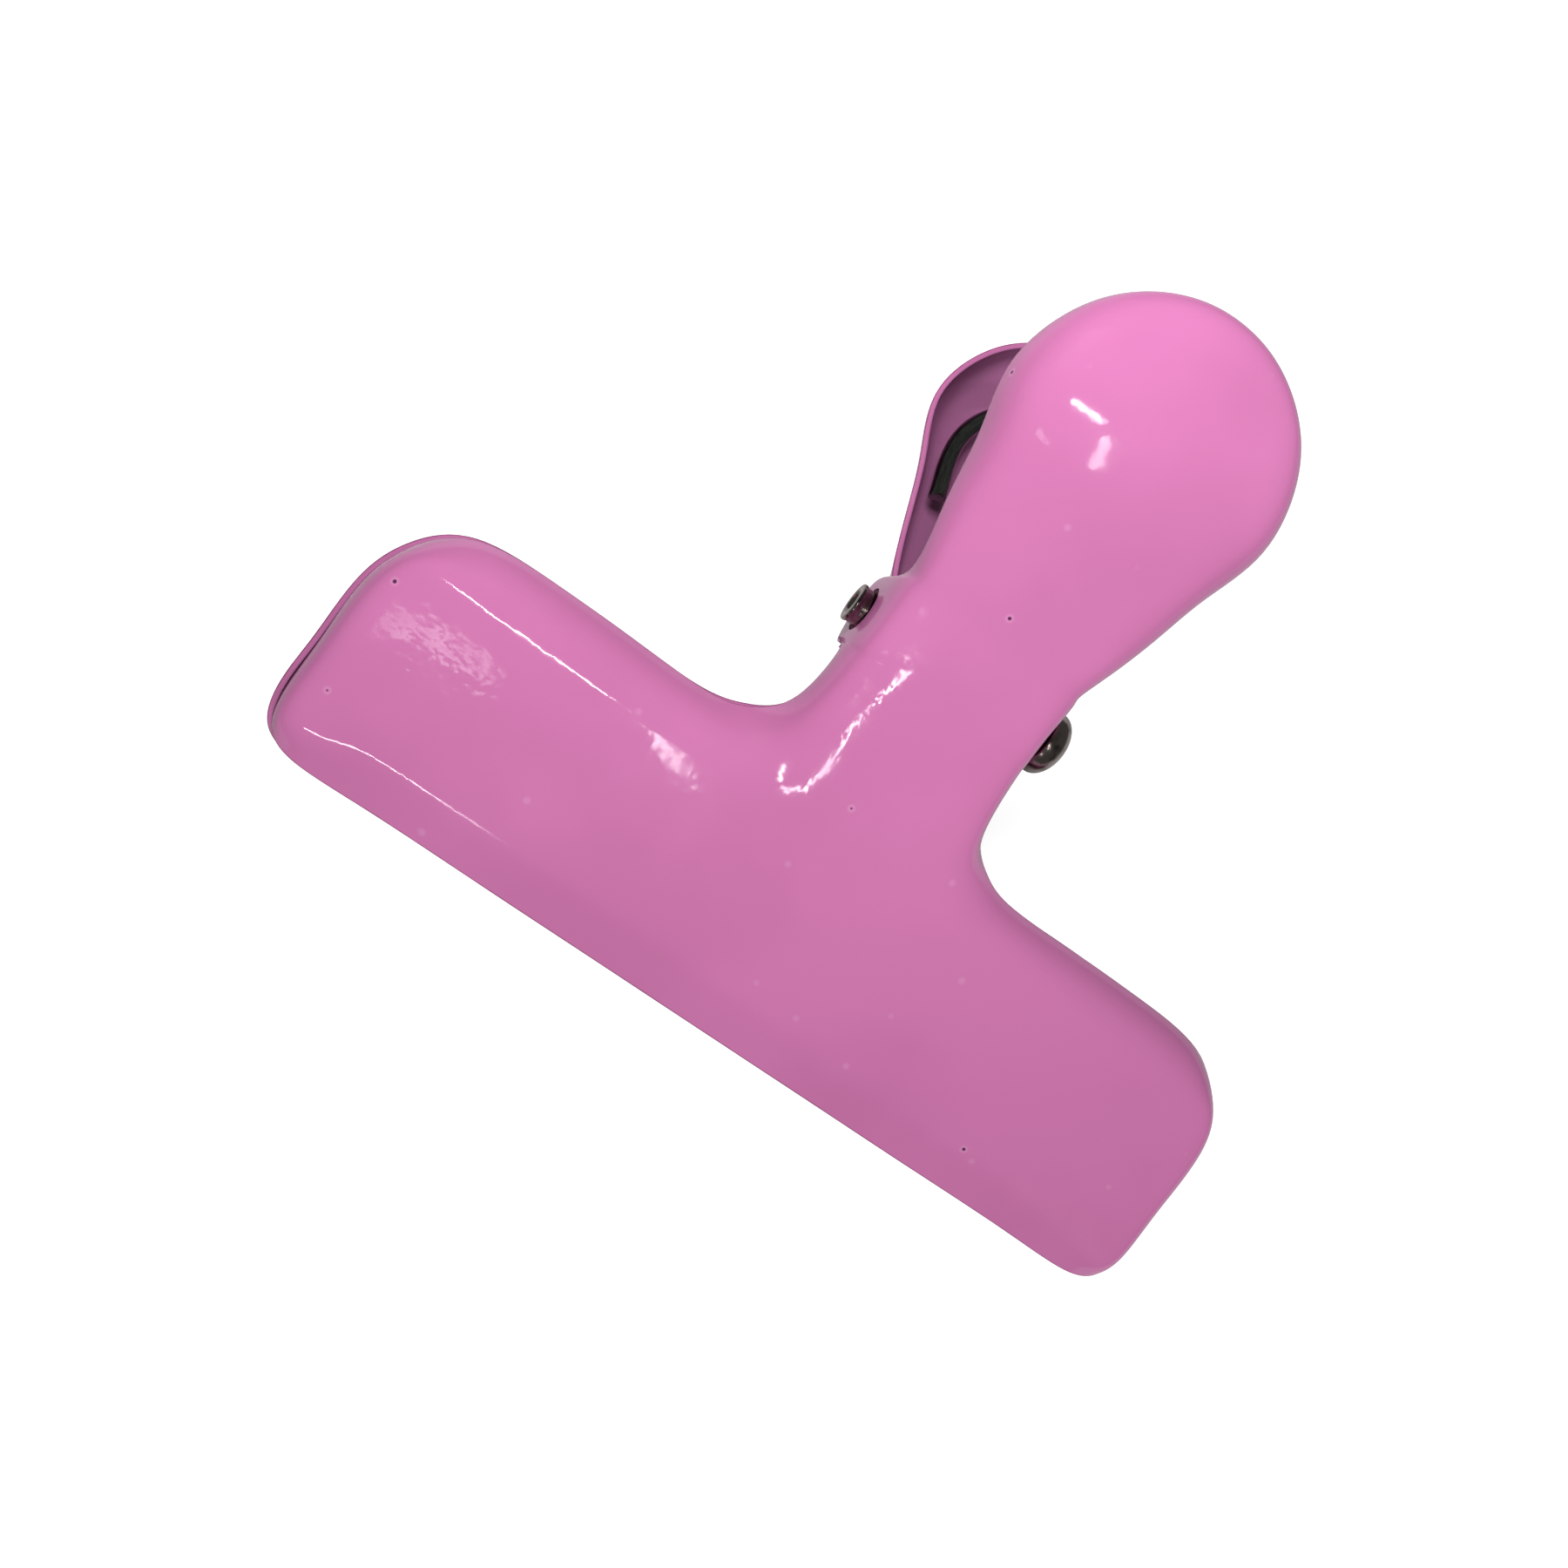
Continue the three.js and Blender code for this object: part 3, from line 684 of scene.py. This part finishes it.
def smoothLine(points, pace):
    # A centripetal Catmull-Rom line through the points, with a point every pace or so.
    ends = [2 * points[0] - points[1]] + points + [2 * points[-1] - points[-2]]
    line = []
    for a, b, c, d in zip(ends, ends[1:], ends[2:], ends[3:]):
        knots = [0]
        for first, second in ((a, b), (b, c), (c, d)):
            knots.append(knots[-1] + math.sqrt((second - first).length))
        count = max(1, round((c - b).length / pace))
        for i in range(count):
            t = mix(knots[1], knots[2], i / count)
            ab = a.lerp(b, (t - knots[0]) / (knots[1] - knots[0]))
            bc = b.lerp(c, (t - knots[1]) / (knots[2] - knots[1]))
            cd = c.lerp(d, (t - knots[2]) / (knots[3] - knots[2]))
            abc = ab.lerp(bc, (t - knots[0]) / (knots[2] - knots[0]))
            bcd = bc.lerp(cd, (t - knots[1]) / (knots[3] - knots[1]))
            line.append(abc.lerp(bcd, (t - knots[1]) / (knots[2] - knots[1])))
    return line + [points[-1].copy()]


def makeSpring(points):
    # A curve with a round section, made a mesh, with its cut ends' edges broken.
    line = smoothLine(points, spring["pace"])
    bpy.ops.object.select_all(action="DESELECT")
    bpy.ops.curve.primitive_nurbs_path_add(location=(0, 0, 0))
    piece = bpy.context.object
    piece.name = "torsionSpring"
    curve = piece.data
    curve.splines.clear()
    wire = curve.splines.new("POLY")
    wire.points.add(len(line) - 1)
    for point, spot in zip(wire.points, line):
        point.co = (*spot, 1)
    curve.bevel_depth = spring["wire"]
    curve.bevel_resolution = spring["roundness"]
    curve.use_fill_caps = True
    wake(piece)
    bpy.ops.object.convert(target="MESH")
    piece = bpy.context.object
    mesh = piece.data
    editMode()
    bpy.ops.mesh.select_all(action="SELECT")
    bpy.ops.mesh.remove_doubles(threshold=mergeGap)
    bpy.ops.mesh.normals_make_consistent(inside=False)
    objectMode()
    applyModifier(piece, "BEVEL", width=spring["endRound"], segments=spring["endSteps"],
                  limit_method="ANGLE", angle_limit=cutEdge)
    markDrawing(mesh, line)
    wake(piece)
    bpy.ops.object.shade_smooth_by_angle(angle=spring["softAngle"])
    place(piece)
    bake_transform(piece)
    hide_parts("torsion_spring")
    print("torsion spring:", len(mesh.polygons), "faces")
    return piece


def markDrawing(mesh, line):
    # How far along the wire each vertex is, and where round it, for the drawing lines of its finish.
    tree = KDTree(len(line))
    for i, spot in enumerate(line):
        tree.insert(spot, i)
    tree.balance()
    along = mesh.attributes.new("wireFinish", "FLOAT_VECTOR", "POINT")
    for vertex in mesh.vertices:
        spot, i = tree.find(vertex.co)[:2]
        ahead = (line[min(i + 1, len(line) - 1)] - line[max(i - 1, 0)]).normalized()
        side = ahead.orthogonal().normalized()
        out = vertex.co - spot
        turn = math.atan2(out.dot(ahead.cross(side)), out.dot(side))
        along.data[vertex.index].vector = (i * spring["pace"], math.cos(turn), math.sin(turn))


# The photo's view, from a fit of the clip's outline to it.
view = {
    "eye": (-0.03449, -0.04323, 0.1303),
    "forward": (0.1626, 0.283, -0.9452),
    "up": (-0.5803, 0.8022, 0.1403),
    "lens": 30.477,
    "shift": (-0.00639, -0.08691),
    "sensor": 36,
    "nearest": 0.005,
    "furthest": 20,
}


def makeCamera():
    data = bpy.data.cameras.new("camera")
    camera = bpy.data.objects.new("camera", data)
    bpy.context.scene.collection.objects.link(camera)
    back = -Vector(view["forward"]).normalized()
    right = Vector(view["up"]).cross(back).normalized()
    up = back.cross(right)
    turn = Matrix((right, up, back)).transposed().to_4x4()
    camera.matrix_world = Matrix.Translation(view["eye"]) @ turn
    data.lens = view["lens"]
    data.sensor_width = view["sensor"]
    data.sensor_fit = "HORIZONTAL"
    data.shift_x, data.shift_y = view["shift"]
    data.clip_start = view["nearest"]
    data.clip_end = view["furthest"]
    bpy.context.scene.camera = camera


def newMaterial(name):
    material = bpy.data.materials.new(name)
    material.use_nodes = True
    tree = material.node_tree
    return material, tree, tree.nodes["Principled BSDF"]


def attributeNode(tree, name):
    node = tree.nodes.new("ShaderNodeAttribute")
    node.attribute_name = name
    return node


def noiseNode(tree, vector, scale, detail, roughness=0.5):
    node = tree.nodes.new("ShaderNodeTexNoise")
    node.inputs["Scale"].default_value = scale
    node.inputs["Detail"].default_value = detail
    node.inputs["Roughness"].default_value = roughness
    tree.links.new(vector, node.inputs["Vector"])
    return node.outputs["Fac"]


def rangeNode(tree, value, fromLow, fromHigh, toLow=0, toHigh=1):
    node = tree.nodes.new("ShaderNodeMapRange")
    node.interpolation_type = "SMOOTHSTEP"
    node.inputs["From Min"].default_value = fromLow
    node.inputs["From Max"].default_value = fromHigh
    node.inputs["To Min"].default_value = toLow
    node.inputs["To Max"].default_value = toHigh
    tree.links.new(value, node.inputs["Value"])
    return node.outputs["Result"]


def tintNode(tree, factor, first, second):
    node = tree.nodes.new("ShaderNodeMix")
    node.data_type = "RGBA"
    tree.links.new(factor, node.inputs["Factor"])
    for socket, colour in (("A", first), ("B", second)):
        if isinstance(colour, tuple):
            node.inputs[socket].default_value = colour
        else:
            tree.links.new(colour, node.inputs[socket])
    return node.outputs["Result"]


def mathNode(tree, operation, first, second):
    node = tree.nodes.new("ShaderNodeMath")
    node.operation = operation
    for socket, value in zip(node.inputs, (first, second)):
        if isinstance(value, (int, float)):
            socket.default_value = value
        else:
            tree.links.new(value, socket)
    return node.outputs["Value"]


def vectorNode(tree, operation, vector, fixed=(0, 0, 0)):
    node = tree.nodes.new("ShaderNodeVectorMath")
    node.operation = operation
    node.inputs[1].default_value = fixed
    tree.links.new(vector, node.inputs[0])
    return node


def bumpNode(tree, height, strength, distance, under=None):
    node = tree.nodes.new("ShaderNodeBump")
    node.inputs["Strength"].default_value = strength
    node.inputs["Distance"].default_value = distance
    tree.links.new(height, node.inputs["Height"])
    if under:
        tree.links.new(under, node.inputs["Normal"])
    return node.outputs["Normal"]


# Each noise has a scale, a detail and, where it isn't 0.5, a roughness.
enamel = {
    "colour": (0.66, 0.20, 0.45, 1),
    "deep": (0.62, 0.185, 0.42, 1),
    "cloudNoise": (45, 3),
    "cloudRange": (0.35, 0.62),
    "inside": (0.38, 0.13, 0.28, 1),  # painted shade on the inner face of the sheet
    "insideShadeRange": (0.7, 1),
    "pitScale": 190,
    "pitSize": 0.045,
    "pitCore": 0.6,  # of the pit's size
    "speck": (0.12, 0.03, 0.09, 1),
    "halo": (0.74, 0.32, 0.56, 1),
    "haloSize": 0.11,
    "haloStrength": 0.5,
    # Dark colour along the cut edges: partly worn enamel, partly painted shade along the edges.
    "edgeWearAndShade": (0.20, 0.035, 0.11, 1),
    "chipNoise": (520, 4, 0.7),
    "chipDepth": 0.22,
    "wearAndShadeRange": (0.86, 1.08),
    "wearAndShadeMost": 0.85,
    "wearRoughness": 0.25,
    "roughness": (0.04, 0.1),
    "smearNoise": (90, 4, 0.6),
    "smearRange": (0.35, 0.7),
    "ior": 1.5,
    "waveNoise": (170, 1),
    "waveStrength": 0.02,
    "peelNoise": (520, 2),
    "peelStrength": 0.048,
    "bumpDistance": 0.0004,
}


def enamelFinish():
    # Baked gloss enamel: faint clouding, an uneven surface, a few pits with a pale ring, a narrow dark line
    # along the cut edges (partly enamel drawn back, partly painted shade), and painted shade on the sheet's
    # inner face.
    material, tree, surface = newMaterial("pinkEnamel")
    where = tree.nodes.new("ShaderNodeTexCoord").outputs["Object"]
    cloud = rangeNode(tree, noiseNode(tree, where, *enamel["cloudNoise"]), *enamel["cloudRange"])
    colour = tintNode(tree, cloud, enamel["deep"], enamel["colour"])
    pits = tree.nodes.new("ShaderNodeTexVoronoi")
    pits.inputs["Scale"].default_value = enamel["pitScale"]
    tree.links.new(where, pits.inputs["Vector"])
    away = pits.outputs["Distance"]
    halo = rangeNode(tree, away, enamel["haloSize"], enamel["pitSize"])
    halo = mathNode(tree, "MULTIPLY", halo, enamel["haloStrength"])
    colour = tintNode(tree, halo, colour, enamel["halo"])
    pit = rangeNode(tree, away, enamel["pitSize"], enamel["pitCore"] * enamel["pitSize"])
    colour = tintNode(tree, pit, colour, enamel["speck"])
    # The inner face of the sheet is made darker: painted shade.
    inside = rangeNode(tree, attributeNode(tree, "inside").outputs["Fac"], *enamel["insideShadeRange"])
    colour = tintNode(tree, inside, colour, enamel["inside"])
    # The dark line along the cut edges: partly edge wear, partly painted shade.
    chips = mathNode(tree, "MULTIPLY", noiseNode(tree, where, *enamel["chipNoise"]), enamel["chipDepth"])
    wornAndShaded = mathNode(tree, "ADD", attributeNode(tree, "rimWearAndShade").outputs["Fac"], chips)
    wornAndShaded = rangeNode(tree, wornAndShaded, *enamel["wearAndShadeRange"], 0, enamel["wearAndShadeMost"])
    colour = tintNode(tree, wornAndShaded, colour, enamel["edgeWearAndShade"])
    tree.links.new(colour, surface.inputs["Base Color"])
    smear = noiseNode(tree, where, *enamel["smearNoise"])
    gloss = rangeNode(tree, smear, *enamel["smearRange"], *enamel["roughness"])
    gloss = mathNode(tree, "ADD", gloss, mathNode(tree, "MULTIPLY", wornAndShaded, enamel["wearRoughness"]))
    tree.links.new(gloss, surface.inputs["Roughness"])
    surface.inputs["IOR"].default_value = enamel["ior"]
    distance = enamel["bumpDistance"]
    wave = noiseNode(tree, where, *enamel["waveNoise"])
    peel = noiseNode(tree, where, *enamel["peelNoise"])
    normal = bumpNode(tree, wave, enamel["waveStrength"], distance)
    normal = bumpNode(tree, peel, enamel["peelStrength"], distance, normal)
    tree.links.new(normal, surface.inputs["Normal"])
    return material


pinSteel = {
    "colour": (0.34, 0.29, 0.265, 1),
    "stain": (0.12, 0.10, 0.09, 1),
    "stainNoise": (600, 3),
    "stainRange": (0.42, 0.7),
    "roughness": (0.12, 0.26),
    "ringNoise": (3500, 2, 0.7),
    "ringRange": (0.3, 0.7),
    "bump": (0.12, 0.00005),  # strength and distance
}


def pinFinish():
    # Polished dark steel with fine rings left by turning, and darker stains.
    material, tree, surface = newMaterial("polishedSteel")
    where = tree.nodes.new("ShaderNodeTexCoord").outputs["Object"]
    hinge = frame["joints"][0]["pos_m"]
    fromAxis = vectorNode(tree, "SUBTRACT", where, (0, hinge[1], hinge[2]))
    across = vectorNode(tree, "MULTIPLY", fromAxis.outputs["Vector"], (0, 1, 1))
    radius = vectorNode(tree, "LENGTH", across.outputs["Vector"])
    split = tree.nodes.new("ShaderNodeSeparateXYZ")
    tree.links.new(where, split.inputs["Vector"])
    rings = tree.nodes.new("ShaderNodeCombineXYZ")
    tree.links.new(split.outputs["X"], rings.inputs["X"])
    tree.links.new(radius.outputs["Value"], rings.inputs["Y"])
    marks = noiseNode(tree, rings.outputs["Vector"], *pinSteel["ringNoise"])
    stain = rangeNode(tree, noiseNode(tree, where, *pinSteel["stainNoise"]), *pinSteel["stainRange"])
    colour = tintNode(tree, stain, pinSteel["colour"], pinSteel["stain"])
    tree.links.new(colour, surface.inputs["Base Color"])
    surface.inputs["Metallic"].default_value = 1
    gloss = rangeNode(tree, marks, *pinSteel["ringRange"], *pinSteel["roughness"])
    tree.links.new(gloss, surface.inputs["Roughness"])
    tree.links.new(bumpNode(tree, marks, *pinSteel["bump"]), surface.inputs["Normal"])
    return material


wireSteel = {
    "colour": (0.24, 0.255, 0.235, 1),
    "dark": (0.12, 0.13, 0.115, 1),
    "roughness": (0.09, 0.2),
    "lineNoise": (5, 3, 0.6),
    "lineStretch": (0.12, 1, 1),
    "colourRange": (0.35, 0.65),
    "glossRange": (0.3, 0.7),
    "bump": (0.1, 0.00003),  # strength and distance
}


def wireFinish():
    # Dark drawn spring wire: fine lines that run along it, from how far along and round each point is.
    material, tree, surface = newMaterial("drawnWire")
    along = attributeNode(tree, "wireFinish").outputs["Vector"]
    stretched = vectorNode(tree, "MULTIPLY", along, wireSteel["lineStretch"])
    drawn = noiseNode(tree, stretched.outputs["Vector"], *wireSteel["lineNoise"])
    tone = rangeNode(tree, drawn, *wireSteel["colourRange"])
    colour = tintNode(tree, tone, wireSteel["dark"], wireSteel["colour"])
    tree.links.new(colour, surface.inputs["Base Color"])
    surface.inputs["Metallic"].default_value = 1
    gloss = rangeNode(tree, drawn, *wireSteel["glossRange"], *wireSteel["roughness"])
    tree.links.new(gloss, surface.inputs["Roughness"])
    tree.links.new(bumpNode(tree, drawn, *wireSteel["bump"]), surface.inputs["Normal"])
    return material


ground = {
    "size": 6,
    "drop": 0.00002,  # under the clip, so that the two don't share a plane
    "colour": (0.45, 0.45, 0.45, 1),
    "roughness": 0.9,
    "seen": 0.9,  # added for the camera, which makes it white
    "mirrored": 0.2,  # added for gloss, metal and glass
}


def makeFloor():
    bpy.ops.mesh.primitive_plane_add(size=ground["size"], location=(0, 0, -ground["drop"]))
    floor = bpy.context.object
    floor.name = "floor"
    material, tree, surface = newMaterial("paleFloor")
    surface.inputs["Base Color"].default_value = ground["colour"]
    surface.inputs["Roughness"].default_value = ground["roughness"]
    surface.inputs["Specular IOR Level"].default_value = 0
    path = tree.nodes.new("ShaderNodeLightPath")
    seen = mathNode(tree, "MULTIPLY", path.outputs["Is Camera Ray"], ground["seen"])
    mirrored = mathNode(tree, "MAXIMUM", path.outputs["Is Glossy Ray"], path.outputs["Is Transmission Ray"])
    mirrored = mathNode(tree, "MULTIPLY", mirrored, ground["mirrored"])
    white = tree.nodes.new("ShaderNodeEmission")
    tree.links.new(mathNode(tree, "ADD", seen, mirrored), white.inputs["Strength"])
    both = tree.nodes.new("ShaderNodeAddShader")
    tree.links.new(surface.outputs["BSDF"], both.inputs[0])
    tree.links.new(white.outputs["Emission"], both.inputs[1])
    tree.links.new(both.outputs["Shader"], tree.nodes["Material Output"].inputs["Surface"])
    floor.data.materials.append(material)


# Narrow tubes give the streaks of light on the enamel; the two soft lamps light it and don't show in it.
lamps = {
    "crossTube": {"at": (-0.025, -0.775, 2.377), "size": (0.36, 0.05), "power": 2.4},
    "slantTube": {"at": (0.31, -1.06, 2.245), "size": (0.022, 0.38), "power": 1.1, "turn": 15},
    "endTube": {"at": (-0.26, -1.312, 2.11), "size": (0.42, 0.024), "power": 0.17},
    "frontTube": {"at": (-0.05, -1.6, 1.15), "size": (0.25, 0.04), "power": 0.7},
    "sideGlow": {"at": (1.0, -1.2, 0.85), "size": (0.5, 0.5), "power": 17, "inGloss": False},
    "deskLamp": {"at": (-0.065, 0.035, 0.135), "size": (0.06, 0.06), "power": 0.17, "inGloss": False},
}

# How bright the room is as light on the clip, and as gloss and metal see it. The camera sees it white.
room = {
    "light": 0.09,
    "mirrored": 0.1,
}


def makeLamp(name, at, size, power, turn=0, inGloss=True):
    # A flat lamp that faces the clip, turned about the line between them.
    data = bpy.data.lights.new(name, "AREA")
    data.shape = "RECTANGLE"
    data.size, data.size_y = size
    data.energy = power
    lamp = bpy.data.objects.new(name, data)
    bpy.context.scene.collection.objects.link(lamp)
    back = Vector(at).normalized()
    right = Vector((0, 1, 0)).cross(back).normalized()
    up = back.cross(right)
    facing = Matrix((right, up, back)).transposed().to_4x4()
    lamp.matrix_world = Matrix.Translation(at) @ facing @ Matrix.Rotation(math.radians(turn), 4, "Z")
    lamp.visible_glossy = inGloss


def lightScene():
    world = bpy.data.worlds.new("room")
    world.use_nodes = True
    tree = world.node_tree
    background = tree.nodes["Background"]
    background.inputs["Color"].default_value = (1, 1, 1, 1)
    path = tree.nodes.new("ShaderNodeLightPath")
    strength = rangeNode(tree, path.outputs["Is Glossy Ray"], 0, 1, room["light"], room["mirrored"])
    strength = mathNode(tree, "MAXIMUM", strength, path.outputs["Is Camera Ray"])
    tree.links.new(strength, background.inputs["Strength"])
    bpy.context.scene.world = world
    for name, lamp in lamps.items():
        makeLamp(name, **lamp)


toRow = clipPlace()
makeCamera()
lightScene()
makeFloor()
frontShell, springLine = makeFrontShell()
backShell = makeBackShell()
pivotPin = makePin()
torsionSpring = makeSpring(springLine)
pinkEnamel = enamelFinish()
frontShell.data.materials.append(pinkEnamel)
backShell.data.materials.append(pinkEnamel)
pivotPin.data.materials.append(pinFinish())
torsionSpring.data.materials.append(wireFinish())

bpy.context.scene.view_settings.view_transform = "Standard"
